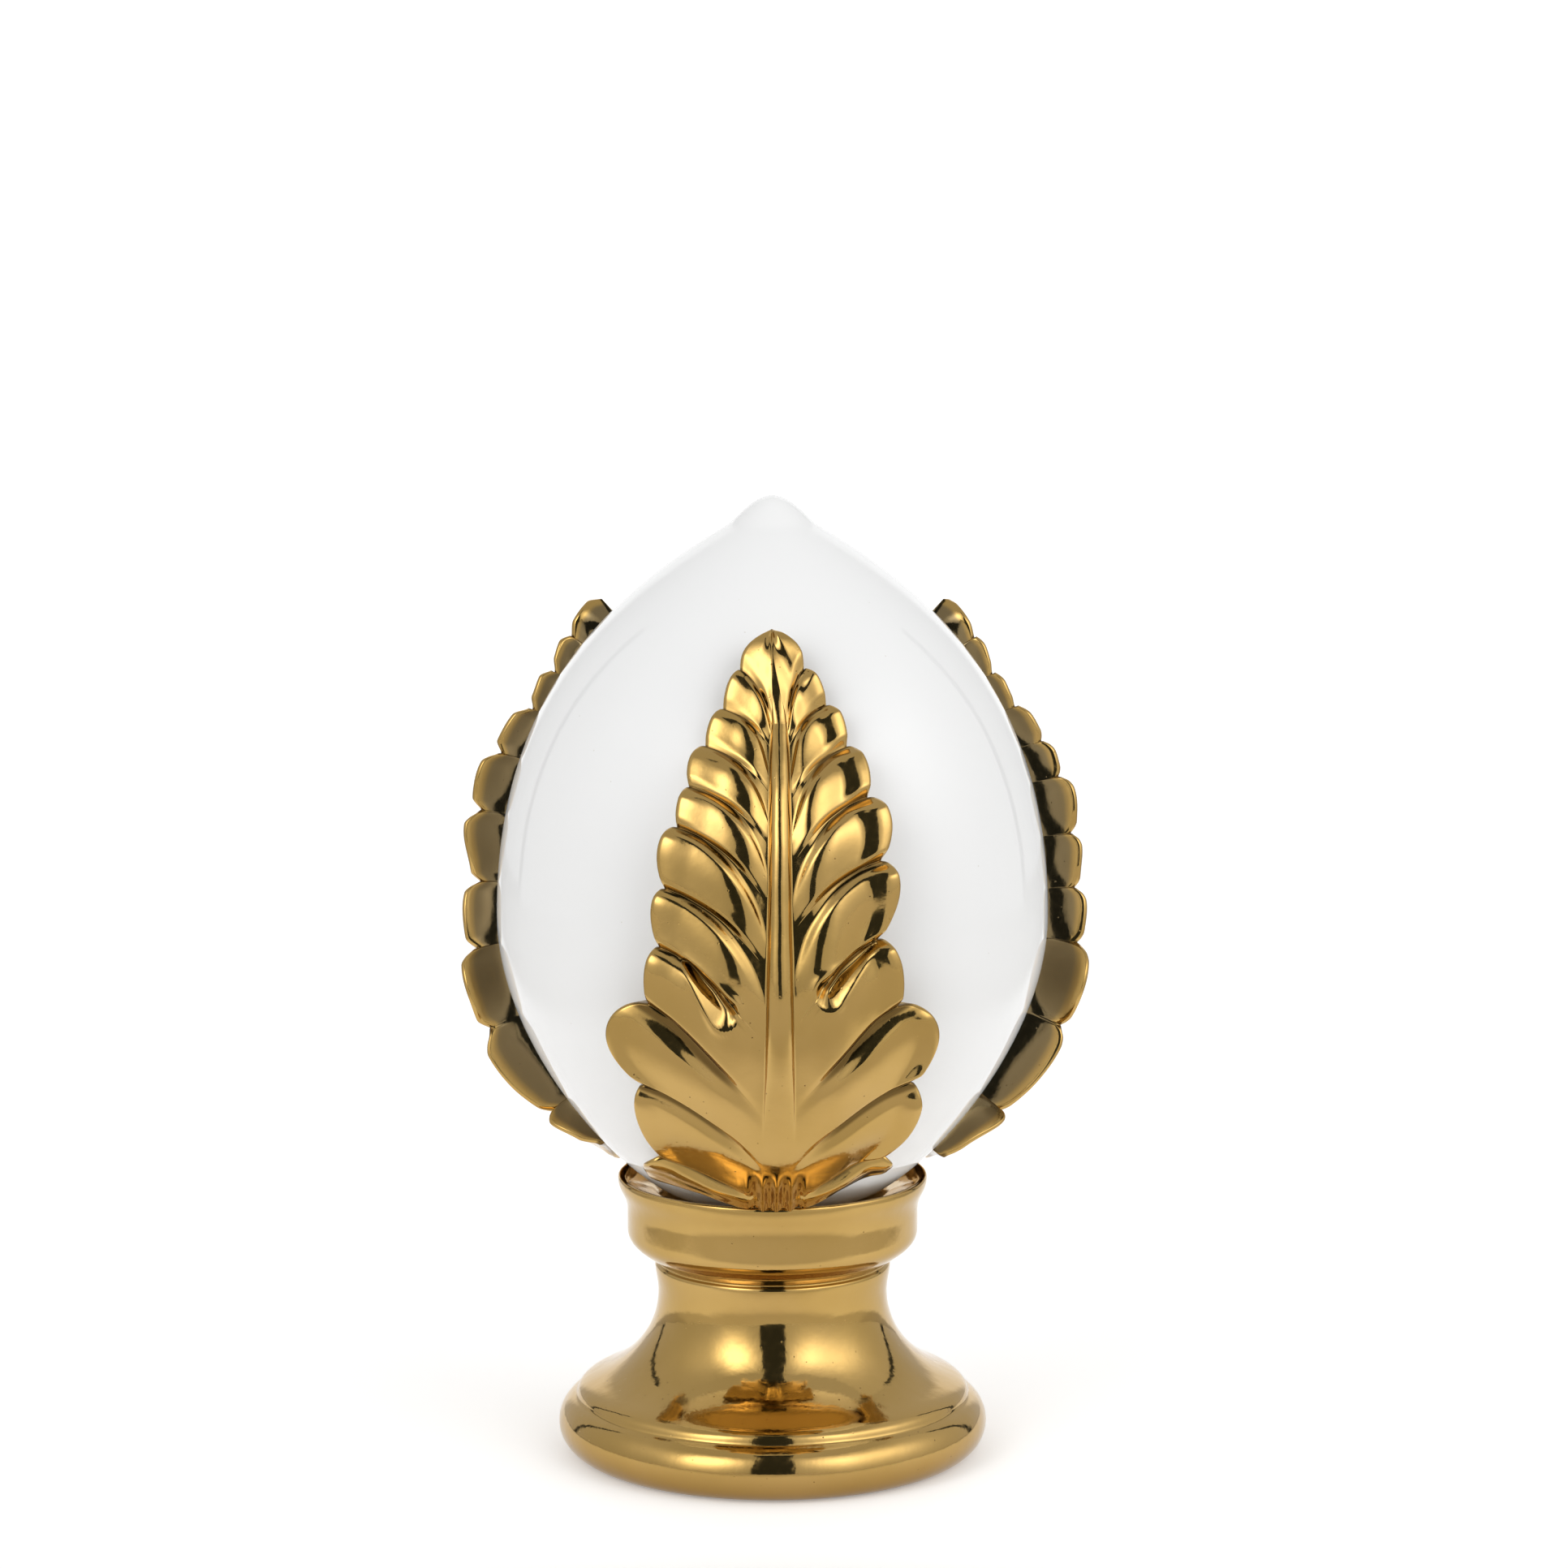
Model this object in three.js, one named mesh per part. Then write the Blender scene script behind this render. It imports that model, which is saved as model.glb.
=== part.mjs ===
// A pumo: a glazed bud with three acanthus leaves, seated in the cup of a turned pedestal.
// Millimetres, +Z up, origin in the middle of the underside, first leaf facing -Y.
import * as THREE from 'three';
import { mergeVertices } from 'three/addons/utils/BufferGeometryUtils.js';

// Foot of the pedestal: a thick round ring on a flat underside, with a crease above it
const footRadius = 45;
const footRoll = 6;
const footLowerHeight = 6;
const footUpperHeight = 6.2;
const creaseInset = 4;

// Shoulder and hollow neck above the foot
const shoulderBulge = 0.4;
const shoulderHeight = 4.8;
const shoulderInset = 6.3;
const shoulderSteepness = 1.23;
const hollowHeight = 17.3;
const neckRadius = 24;
const collarHeight = 5.9;
const collarRadius = 24.7;

// Cup that holds the bud
const grooveDepth = 0.9;
const grooveHeight = 0.4;
const cupBellyHeight = 6.7;
const cupRadius = 30.4;
const cupWallHeight = 4.2;
const lipHeight = 7.5;
const lipRadius = 32.3;
const lipFlare = 0.5;
const lipThickness = 0.9;
const seatDepth = 3.4;
const seatMargin = 2.2;

// How far the pedestal's curves pull along their ends, as shares of the height they climb
const bellyPull = 0.4;
const shoulderPull = 0.8;
const hollowLowPull = 0.44;
const hollowHighPull = 0.43;
const collarPull = 0.3;
const cupSpread = 0.45;
const cupLift = 0.33;
const cupPull = 0.45;
const lipLowPull = 0.5;
const lipHighPull = 0.4;

// Bud
const budHeight = 144.9;
const budRadius = 57.1;
const budFootRadius = 22;
const budClearance = 0.3;
const budBellyShare = 0.4;
const budPointHeight = 6.1;
const budPointRadius = 9.2;
const budPointSteepness = 1.75;

// Fullness of the bud's curves, as shares of the way along each
const budFootSpread = 0.4;
const budFootLift = 0.13;
const budBellyFullness = 0.583;
const budShoulderFullness = 0.473;
const budShoulderPull = 0.448;
const budPointPull = 0.25;
const budPointBluntness = 0.43;

// Leaves
const leafCount = 3;
const leafTopShare = 0.8045;
const leafRise = 3.4;
const leafHalfWidth = 33;
const leafClearance = 0.6;
const leafFlare = 2;
const leafletRelief = 2.1;
const leafWrapDistance = 6.3;
const smallLeafletShare = 0.08;
const midribHalfWidth = 2.8;
const midribHeight = 1.5;
const midribSway = 1.6;
const valleyDepth = 2;
const tipRoofDepth = 1.4;
const tipRoofRun = 4;
const footprintMargin = 1.4;
const footprintShares = [0.7, 0.97];
const leafThicknessAt = [
  [0, 7.6], [0.05, 6.2], [0.11, 4.8], [0.17, 4.7], [0.26, 6.9], [0.34, 8.1], [0.46, 7.7],
  [0.6, 8.5], [0.73, 7.4], [0.87, 5.4], [0.96, 4.2], [1, 4.4],
];

// Each half of the leaf, from its tip to its foot. A groove parts every two leaflets. It runs
// from a notch in the edge (reach: how far out, as a share of the half width; notch: how far
// down, as a share of the length) to the midrib (root). Swell is how far, in millimetres, the
// lobe below it stands out past the straight line between its notches. Standing is how much
// higher than the other half it is carved.
const leftHalf = {
  side: -1,
  standing: 0,
  reach: [0, 0.201, 0.316, 0.422, 0.501, 0.561, 0.633, 0.67, 0.734, 0.765, 0.67, 0.9],
  notch: [-0.006, 0.052, 0.109, 0.17, 0.239, 0.304, 0.404, 0.501, 0.591, 0.725, 0.886, 0.969],
  root: [-0.006, 0.132, 0.168, 0.245, 0.331, 0.431, 0.539, 0.659, 0.798, 0.896, 0.978, 1],
  swell: [1.6, 1, 1.2, 1.7, 0.9, 2.2, 1.8, 1.3, 7.8, 2.4, 3.6],
};
const rightHalf = {
  side: 1,
  standing: -1.3,
  reach: [0, 0.204, 0.36, 0.49, 0.592, 0.66, 0.652, 0.78, 0.855, 0.67, 0.8],
  notch: [-0.006, 0.05, 0.102, 0.168, 0.255, 0.359, 0.49, 0.601, 0.73, 0.891, 0.96],
  root: [-0.006, 0.132, 0.168, 0.259, 0.368, 0.478, 0.634, 0.784, 0.896, 0.978, 1],
  swell: [1.6, 1.2, 1.5, 1.9, 2.9, 3.2, 2.2, 6.8, 3.4, 3.2],
};

// Where on the leaf its forms grow and fade: shares of its length, or of the way out (Across)
const swayGrows = [0.02, 0.14];
const swayEases = [0.7, 1];
const swayEased = 0.4;
const midribUpper = { share: 0.8, grows: [0, 0.2] };
const midribLower = { share: 0.4, grows: [0.3, 0.9] };
const ridgeGrows = [0.01, 0.15];
const ridgeFades = [0.75, 1];
const valleyGrows = [0.02, 0.2];
const valleyFades = [0.75, 1];
const valleyAcross = [0, 0.35];
const flareGrows = [0.6, 0.75];
const flareFades = [0.82, 0.96];
const roofFades = [0.1, 0.24];
const standingAcross = [0.2, 0.8];
const standingGrows = [0, 0.2];
const reliefAtMidrib = 0.25;
const reliefAcross = [0, 0.5];
const reliefLostAtEdge = 0.3;
const edgeAcross = [0.85, 1];

// Curve of the grooves, and the shape of pillows and lobes between them
const grooveBowUpper = 0.35;
const grooveBowLower = 0.57;
const grooveBowGrows = [0.4, 0.9];
const grooveDropUpper = 0.2;
const grooveDropLast = 0.6;
const grooveDropGrows = [0.92, 1];
const pillowSkew = 0.65;
const lobeSkew = 0.75;
const lobeFullness = [0.6, 1.1];
const tipSkew = 1.5;

// Fineness of the faces
const turnedSides = 40;
const curveSteps = 5;
const shortCurveSteps = 4;
const collarSteps = 3;
const budSteps = 8;
const outlineSteps = 200;
const slopeStep = 0.5;
const leafRows = 44;
const leafColumns = [0, 0.14, 0.36, 0.62, 0.85, 1];
const backColumns = 6;
const samePoint = 1e-6;
const weldDistance = 1e-5;

const goldLustre = new THREE.MeshStandardMaterial({ color: 0xb08f54, roughness: 0.12, metalness: 1 });
const leafLustre = new THREE.MeshStandardMaterial({ color: 0xb59355, roughness: 0.16, metalness: 1 });
const whiteGlaze = new THREE.MeshStandardMaterial({ color: 0xecedec, roughness: 0.1, metalness: 0 });

// Radii and levels that the pieces share
const creaseRadius = footRadius - creaseInset;
const slopeRadius = creaseRadius - shoulderInset;
const creaseLevel = footLowerHeight + footUpperHeight
  * Math.sqrt(1 - ((footRoll - creaseInset) / footRoll) ** 2);
const slopeLevel = creaseLevel + shoulderHeight;
const neckLevel = slopeLevel + hollowHeight;
const collarLevel = neckLevel + collarHeight;
const grooveLevel = collarLevel + grooveHeight;
const cupLevel = grooveLevel + cupBellyHeight;
const lipLevel = cupLevel + cupWallHeight + lipHeight;
const seatLevel = lipLevel - seatDepth;
const budFoot = seatLevel + budClearance;
const budTip = budFoot + budHeight;
const leafTop = budFoot + leafTopShare * budHeight;
const leafBottom = lipLevel + leafRise;
const leafLength = leafTop - leafBottom;

const at = (radius, height) => new THREE.Vector2(radius, height);
const mix = THREE.MathUtils.lerp;
const fade = (value, [from, to]) => THREE.MathUtils.smoothstep(value, from, to);

// Points of a cubic curve between two corners, its first point left out
function bend(from, fromHandle, toHandle, to, steps = curveSteps) {
  return new THREE.CubicBezierCurve(from, fromHandle, toHandle, to).getPoints(steps).slice(1);
}

// Quarter or part of an ellipse about (radius, height), from one angle to another in degrees
function arc(radius, height, across, up, fromAngle, toAngle, steps = curveSteps) {
  return Array.from({ length: steps + 1 }, (_, i) => {
    const angle = THREE.MathUtils.degToRad(mix(fromAngle, toAngle, i / steps));
    return at(radius + across * Math.cos(angle), height + up * Math.sin(angle));
  });
}

// A closed profile turned about the Z axis
function turned(profile) {
  return new THREE.LatheGeometry(profile, turnedSides).rotateX(Math.PI / 2);
}

function pedestalProfile() {
  const ringCentre = footRadius - footRoll;
  const creaseAngle = THREE.MathUtils.radToDeg(Math.acos((creaseRadius - ringCentre) / footRoll));
  const crease = at(creaseRadius, creaseLevel);
  const slope = at(slopeRadius, slopeLevel);
  const slopeRun = at(-shoulderSteepness, 1).normalize();
  const neck = at(neckRadius, neckLevel);
  const collar = at(collarRadius, collarLevel);
  const groove = at(collarRadius - grooveDepth, grooveLevel);
  const cup = at(cupRadius, cupLevel);
  const wallTop = at(cupRadius, cupLevel + cupWallHeight);
  const lip = at(lipRadius, lipLevel);
  return [
    at(0, 0),
    ...arc(ringCentre, footLowerHeight, footRoll, footLowerHeight, -90, 0),
    ...arc(ringCentre, footLowerHeight, footRoll, footUpperHeight, 0, creaseAngle, shortCurveSteps).slice(1),
    ...bend(
      crease,
      at(creaseRadius + shoulderBulge, creaseLevel + shoulderBulge + bellyPull * shoulderHeight),
      slope.clone().addScaledVector(slopeRun, -shoulderPull * shoulderHeight),
      slope,
    ),
    ...bend(
      slope,
      slope.clone().addScaledVector(slopeRun, hollowLowPull * hollowHeight),
      at(neckRadius, neckLevel - hollowHighPull * hollowHeight),
      neck,
    ),
    ...bend(
      neck,
      at(neckRadius, neckLevel + collarPull * collarHeight),
      at(collarRadius, collarLevel - collarPull * collarHeight),
      collar,
      collarSteps,
    ),
    groove,
    ...bend(
      groove,
      at(mix(groove.x, cupRadius, cupSpread), mix(grooveLevel, cupLevel, cupLift)),
      at(cupRadius, cupLevel - cupPull * cupBellyHeight),
      cup,
    ),
    wallTop,
    ...bend(
      wallTop,
      at(cupRadius, wallTop.y + lipLowPull * lipHeight),
      at(lipRadius + lipFlare, lipLevel - lipHighPull * lipHeight),
      lip,
      shortCurveSteps,
    ),
    at(lipRadius - lipThickness, lipLevel),
    at(budFootRadius + seatMargin, seatLevel),
    at(0, seatLevel),
  ];
}

// Outline of the bud from the edge of its flat foot to its tip: a full belly, an ogive
// shoulder, and a small pinched point
function budOutline(steps) {
  const bellyLevel = budFoot + budBellyShare * budHeight;
  const pointLevel = budTip - budPointHeight;
  const pointRun = at(-budPointSteepness, 1).normalize();
  const foot = at(budFootRadius, budFoot);
  const belly = at(budRadius, bellyLevel);
  const point = at(budPointRadius, pointLevel);
  return [
    foot,
    ...bend(
      foot,
      at(mix(budFootRadius, budRadius, budFootSpread), mix(budFoot, bellyLevel, budFootLift)),
      at(budRadius, mix(budFoot, bellyLevel, budBellyFullness)),
      belly,
      steps,
    ),
    ...bend(
      belly,
      at(budRadius, mix(bellyLevel, pointLevel, budShoulderFullness)),
      point.clone().addScaledVector(pointRun, budShoulderPull * (bellyLevel - pointLevel)),
      point,
      steps,
    ),
    ...bend(
      point,
      point.clone().addScaledVector(pointRun, budPointPull * budPointHeight),
      at(budPointBluntness * budPointRadius, budTip),
      at(0, budTip),
      Math.ceil(steps / 2),
    ),
  ];
}

const fineOutline = budOutline(outlineSteps);

// The bud's radius at a height, read off its outline
function budRadiusAt(height) {
  const next = Math.max(1, fineOutline.findIndex((point) => point.y >= height));
  const [low, high] = [fineOutline[next - 1], fineOutline[next]];
  return mix(low.x, high.x, (height - low.y) / (high.y - low.y));
}

// The point that stands a distance off the bud, along the normal at a height and a heading
function offBud(height, heading, distance) {
  const slope = (budRadiusAt(height + slopeStep) - budRadiusAt(height - slopeStep)) / (2 * slopeStep);
  const normal = at(1, -slope).normalize();
  const radius = budRadiusAt(height) + distance * normal.x;
  return [radius * Math.sin(heading), -radius * Math.cos(heading), height + distance * normal.y];
}

// A value read from a list of [place, value] pairs with a smooth curve through them
function readSmooth(pairs, place) {
  const last = pairs.length - 1;
  const above = pairs.findIndex((pair) => pair[0] > place);
  const i = above < 0 ? last - 1 : Math.max(0, above - 1);
  const slopeAt = (k) => {
    const [before, after] = [pairs[Math.max(0, k - 1)], pairs[Math.min(last, k + 1)]];
    return (after[1] - before[1]) / (after[0] - before[0]);
  };
  const [from, to] = [pairs[i], pairs[i + 1]];
  const span = to[0] - from[0];
  const t = Math.min(1, (place - from[0]) / span);
  return from[1] * (1 + 2 * t) * (1 - t) ** 2 + to[1] * t * t * (3 - 2 * t)
    + span * (slopeAt(i) * t * (1 - t) ** 2 - slopeAt(i + 1) * t * t * (1 - t));
}

// Midrib: its middle sways a little to one side, and it widens from the tip down
const midribMiddle = (down) => midribSway * fade(down, swayGrows) * (1 - swayEased * fade(down, swayEases));
const midribHalf = (down) => midribHalfWidth
  * (midribUpper.share * fade(down, midribUpper.grows) + midribLower.share * fade(down, midribLower.grows));

// Across a leaflet, from groove to groove: a quick rise to a shoulder, then a slow fall
const pillow = (across) => Math.sin(Math.PI * across ** pillowSkew);

// A lobe of the edge between two notches: it springs out full below the upper notch and runs
// in straighter to the lower one. The leaf's tip is fullest low down instead.
function lobe(across, atTip) {
  const skewed = across ** (atTip ? tipSkew : lobeSkew);
  return Math.max(0, 4 * skewed * (1 - skewed)) ** (atTip ? 1 : mix(...lobeFullness, across));
}

// Place on one half of the leaf, as millimetres out from the midrib plane and the share of
// the length down from the tip. Station counts leaflets down the midrib, and out goes from
// the midrib's side (0) to the lobed edge (1), along a curve that bows upwards.
function leafPlace(half, station, out) {
  const k = Math.min(half.swell.length - 1, Math.floor(station));
  const across = station - k;
  const between = (list) => mix(list[k], list[k + 1], across);
  const [reach, notch, root] = [between(half.reach), between(half.notch), between(half.root)];
  const chord = at(
    (half.reach[k + 1] - half.reach[k]) * leafHalfWidth,
    (half.notch[k + 1] - half.notch[k]) * leafLength,
  );
  const swell = (half.swell[k] * lobe(across, k === 0)) / chord.length();
  const edge = at(reach * leafHalfWidth + swell * chord.y, notch - (swell * chord.x) / leafLength);
  const start = at(midribHalf(root) + half.side * midribMiddle(root), root);
  const bow = mix(grooveBowUpper, grooveBowLower, fade(root, grooveBowGrows));
  const drop = mix(grooveDropUpper, grooveDropLast, fade(root, grooveDropGrows));
  const handle = at(mix(start.x, edge.x, bow), mix(edge.y, root, drop));
  const place = new THREE.QuadraticBezierCurve(start, handle, edge).getPoint(out);
  const straight = (reach * leafHalfWidth - footprintMargin) / edge.x;
  const footprint = station > 0 ? THREE.MathUtils.clamp(straight, ...footprintShares) : 0;
  return { aside: half.side * place.x, down: place.y, across, k, footprint };
}

// The point a distance off the bud, at a place on the leaf. Millimetres aside are measured
// round the bud on a circle that runs through the leaf's thickness.
function onBud(aside, down, distance) {
  const height = leafTop - down * leafLength;
  return offBud(height, aside / (budRadiusAt(height) + leafWrapDistance), distance);
}

// Height of the carving above the bud on one half of the leaf
function leafHeight(half, station, out) {
  const { aside, down, across, k } = leafPlace(half, station, out);
  const size = Math.min(1, (half.notch[k + 1] - half.notch[k]) / smallLeafletShare);
  const inward = mix(reliefAtMidrib, 1, fade(out, reliefAcross));
  const carved = leafletRelief * size * pillow(across) * inward
    * (1 - reliefLostAtEdge * fade(out, edgeAcross));
  const valley = valleyDepth * (1 - fade(out, valleyAcross)) * fade(down, valleyGrows)
    * (1 - fade(down, valleyFades));
  const flare = leafFlare * fade(down, flareGrows) * (1 - fade(down, flareFades)) * out ** 2;
  const fromMiddle = Math.abs(aside - midribMiddle(down));
  const roof = tipRoofDepth * (1 - Math.exp(-fromMiddle / tipRoofRun)) * (1 - fade(down, roofFades));
  const standing = half.standing * fade(out, standingAcross) * fade(down, standingGrows);
  return readSmooth(leafThicknessAt, down) + carved + flare + standing - valley - roof;
}

// Rows follow the leaflets: row i of n lies at the same share of the leaflets on both halves
function stationAt(half, row) {
  const leaflets = half.swell.length;
  const firstRow = (k) => Math.round((k * leafRows) / leaflets);
  let k = 0;
  while (k < leaflets - 1 && row >= firstRow(k + 1)) k += 1;
  return k + (row - firstRow(k)) / (firstRow(k + 1) - firstRow(k));
}

// The carved face of the leaf in one row, from the left edge over the midrib to the right edge
function faceRow(row) {
  const onHalf = (half) => leafColumns.map((out) => {
    const station = stationAt(half, row);
    const { aside, down } = leafPlace(half, station, out);
    return onBud(aside, down, leafHeight(half, station, out));
  });
  const [left, right] = [leftHalf, rightHalf].map((half) => leafPlace(half, stationAt(half, row), 0).down);
  const down = (left + right) / 2;
  const side = leafHeight(leftHalf, stationAt(leftHalf, row), 0);
  const ridge = midribHeight * fade(down, ridgeGrows) * (1 - fade(down, ridgeFades));
  const crest = onBud(midribMiddle(down), down, side + ridge);
  return [...onHalf(leftHalf).reverse(), crest, ...onHalf(rightHalf)];
}

// The back of the leaf in one row, close along the bud, inside a smooth footprint
function backRow(row) {
  const end = (half) => {
    const station = stationAt(half, row);
    return leafPlace(half, station, leafPlace(half, station, 1).footprint);
  };
  const [left, right] = [end(leftHalf), end(rightHalf)];
  return Array.from({ length: backColumns + 1 }, (_, i) => {
    const share = i / backColumns;
    return onBud(mix(left.aside, right.aside, share), mix(left.down, right.down, share), leafClearance);
  });
}

// Triangles between two rows of points of any lengths, matched by their shares along the rows
function strip(upper, lower, triangles) {
  let [i, j] = [0, 0];
  while (i < upper.length - 1 || j < lower.length - 1) {
    const advanceUpper = j === lower.length - 1
      || (i < upper.length - 1 && (i + 1) / (upper.length - 1) <= (j + 1) / (lower.length - 1));
    if (advanceUpper) {
      triangles.push(upper[i], lower[j], upper[i + 1]);
      i += 1;
    } else {
      triangles.push(upper[i], lower[j], lower[j + 1]);
      j += 1;
    }
  }
}

function leafGeometry() {
  const rows = Array.from({ length: leafRows + 1 }, (_, row) => row);
  const face = rows.map(faceRow);
  const back = rows.map(backRow);
  const triangles = [];
  for (let row = 0; row < leafRows; row += 1) {
    strip(face[row], face[row + 1], triangles);
    strip([...back[row]].reverse(), [...back[row + 1]].reverse(), triangles);
    const [upper, lower] = [row, row + 1].map((i) => [face[i].at(-1), back[i].at(-1)]);
    strip([back[row][0], face[row][0]], [back[row + 1][0], face[row + 1][0]], triangles);
    strip(upper, lower, triangles);
  }
  strip(face[leafRows], back[leafRows], triangles);
  const geometry = new THREE.BufferGeometry();
  const apart = (a, b) => Math.hypot(...a.map((value, axis) => value - b[axis])) > samePoint;
  const solid = [];
  for (let i = 0; i < triangles.length; i += 3) {
    const [a, b, c] = triangles.slice(i, i + 3);
    if (apart(a, b) && apart(b, c) && apart(c, a)) solid.push(...a, ...b, ...c);
  }
  geometry.setAttribute('position', new THREE.Float32BufferAttribute(solid, 3));
  return mergeVertices(geometry, weldDistance);
}

function piece(name, geometry, material) {
  const mesh = new THREE.Mesh(geometry, material);
  mesh.name = name;
  return mesh;
}

const pumo = new THREE.Group();
pumo.add(piece('pedestal', turned(pedestalProfile()), goldLustre));
pumo.add(piece('bud', turned([at(0, budFoot), ...budOutline(budSteps)]), whiteGlaze));

const leafShape = leafGeometry();
const leafNames = ['leaf_front', 'leaf_right', 'leaf_left'];
leafNames.slice(0, leafCount).forEach((name, i) => {
  const leaf = piece(name, leafShape, leafLustre);
  leaf.rotation.z = (i * 2 * Math.PI) / leafCount;
  pumo.add(leaf);
});

export default pumo;
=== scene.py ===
"""A pumo finial of glazed ceramic: a white bud with three gold acanthus leaves on it, seated in the
cup of a turned gold pedestal. Shapes are worked out in millimetres and made in metres, Z up, the
front leaf facing -Y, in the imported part's frame."""

import bpy
import numpy as np
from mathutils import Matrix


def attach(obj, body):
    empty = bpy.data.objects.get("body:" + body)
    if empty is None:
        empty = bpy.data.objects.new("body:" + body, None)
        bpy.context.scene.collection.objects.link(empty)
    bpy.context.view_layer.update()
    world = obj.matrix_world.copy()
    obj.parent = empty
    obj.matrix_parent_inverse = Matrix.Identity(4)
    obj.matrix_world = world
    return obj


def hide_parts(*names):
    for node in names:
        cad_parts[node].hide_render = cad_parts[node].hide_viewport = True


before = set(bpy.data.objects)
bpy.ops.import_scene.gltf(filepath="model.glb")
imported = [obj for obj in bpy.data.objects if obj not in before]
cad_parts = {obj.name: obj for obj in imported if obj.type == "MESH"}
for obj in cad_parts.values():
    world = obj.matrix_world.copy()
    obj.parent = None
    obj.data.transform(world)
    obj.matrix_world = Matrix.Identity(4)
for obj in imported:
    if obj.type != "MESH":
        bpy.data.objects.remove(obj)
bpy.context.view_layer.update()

MM = 0.001

# Pedestal, from the foot up
FOOT_RADIUS = 45
FOOT_ROLL = 6
FOOT_LOWER_HEIGHT = 6
FOOT_UPPER_HEIGHT = 6.2
CREASE_RADIUS = 41
SHOULDER_RADIUS = 41.4
SHOULDER_HEIGHT = 4.8
SHOULDER_SLOPE_RADIUS = 34.7
SHOULDER_STEEPNESS = 1.7
HOLLOW_HEIGHT = 17.3
NECK_RADIUS = 24
COLLAR_HEIGHT = 5.9
COLLAR_RADIUS = 24.7
GROOVE_DEPTH = 0.9
GROOVE_HEIGHT = 0.4
CUP_BELLY_HEIGHT = 6.7
CUP_RADIUS = 30.4
CUP_WALL_HEIGHT = 4.2
LIP_HEIGHT = 7.5
LIP_RADIUS = 32.3
LIP_FLARE = 0.5
LIP_THICKNESS = 0.9
SEAT_DEPTH = 3.4
SEAT_MARGIN = 2.2

# Bud
BUD_HEIGHT = 144.9
BUD_RADIUS = 57.1
BUD_FOOT_RADIUS = 22
BUD_CLEARANCE = 0.3
BUD_BELLY_SHARE = 0.4
BUD_POINT_HEIGHT = 6.1
BUD_POINT_RADIUS = 9.2
BUD_POINT_STEEPNESS = 1.75

# Leaves
LEAF_NODES = ("leaf_front", "leaf_right", "leaf_left")
LEAF_TOP_SHARE = 0.8045
LEAF_RISE = 3.4
LEAF_HALF_WIDTH = 33
LEAF_WRAP_DISTANCE = 6.3
LEAF_FLARE = 2
LEAF_BACK = -0.3
TIP_ROOF_DEPTH = 1.4
TIP_ROOF_RUN = 4
TIP_ROOF_RIDGE = 1.4
MIDRIB_HALF_WIDTH = 2.6
MIDRIB_HEIGHT = 2.1
MIDRIB_SWAY = 1.6
VALLEY_DEPTH = 0.6
VALLEY_STRIP = 0.5
SCOOP_DEPTH = 1.6
EDGE_ROLL = 1.0
EYE_DEPTH = 2.2
EYE_RIM = 0.45
FLUTE_PITCH = 3.1
FLUTE_DEPTH = 0.9
FLUTE_KEEL = 2
FLUTE_KEEL_RUN = 9
FOOTPRINT_MARGIN = 1.4
LEAF_THICKNESS = np.array([
    (0, 7.6), (0.05, 6.2), (0.11, 4.8), (0.17, 4.7), (0.26, 6.9), (0.34, 8.1), (0.46, 7.7),
    (0.6, 8.5), (0.73, 7.4), (0.87, 5.4), (0.96, 4.2), (1, 4.4),
])

# Each half of the leaf from its tip to its foot. A groove parts every two leaflets, from a notch
# in the edge (reach out, notch down) to the midrib (root). Swell is how far the lobe below a
# notch stands out past the straight line to the next notch. The eye is a drop-shaped hollow
# from a sharp end to a round one, in (aside, down) millimetres, that takes the place of the
# inner part of its groove. Curl lifts the edges of the leaflets, standing lifts the outer part
# below the tip (or lowers it, below 0), and flat lowers the outer part of the middle leaflets.
LEFT_HALF = dict(
    side=-1,
    flat=0.25,
    curl=0.5,
    standing=0,
    reach=np.array([0, 0.201, 0.316, 0.422, 0.501, 0.561, 0.633, 0.67, 0.734, 0.765, 0.67, 0.9]),
    notch=np.array([
        -0.006, 0.052, 0.109, 0.17, 0.239, 0.304, 0.404, 0.501, 0.591, 0.725, 0.886, 0.969]),
    root=np.array([
        -0.006, 0.132, 0.168, 0.245, 0.331, 0.431, 0.539, 0.659, 0.798, 0.896, 0.978, 1]),
    swell=np.array([1.6, 1, 1.2, 1.7, 0.9, 2.2, 1.8, 1.3, 7.8, 2.4, 3.6]),
    eye=np.array([(-16.3, 57.5), (-8.8, 65.9)]),
    eye_groove=7,
)
RIGHT_HALF = dict(
    side=1,
    flat=0.9,
    curl=1.3,
    standing=-1.3,
    reach=np.array([0, 0.204, 0.36, 0.49, 0.592, 0.66, 0.652, 0.78, 0.855, 0.67, 0.8]),
    notch=np.array([-0.006, 0.05, 0.102, 0.168, 0.255, 0.359, 0.49, 0.601, 0.73, 0.891, 0.96]),
    root=np.array([-0.006, 0.132, 0.168, 0.259, 0.368, 0.478, 0.634, 0.784, 0.896, 0.978, 1]),
    swell=np.array([1.6, 1.2, 1.5, 1.9, 2.9, 3.2, 2.2, 6.8, 3.4, 3.2]),
    eye=np.array([(20.2, 54.9), (10.9, 62.6)]),
    eye_groove=6,
)

# Fineness of the surfaces: sides round, and millimetres or rows along
TURNED_SIDES = 256
PEDESTAL_STEP = 0.4
PEDESTAL_SOFTENING = 0.35
BUD_STEP = 0.7
BUD_SOFTENING = 0.7
LEAF_ROWS = 440

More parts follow.
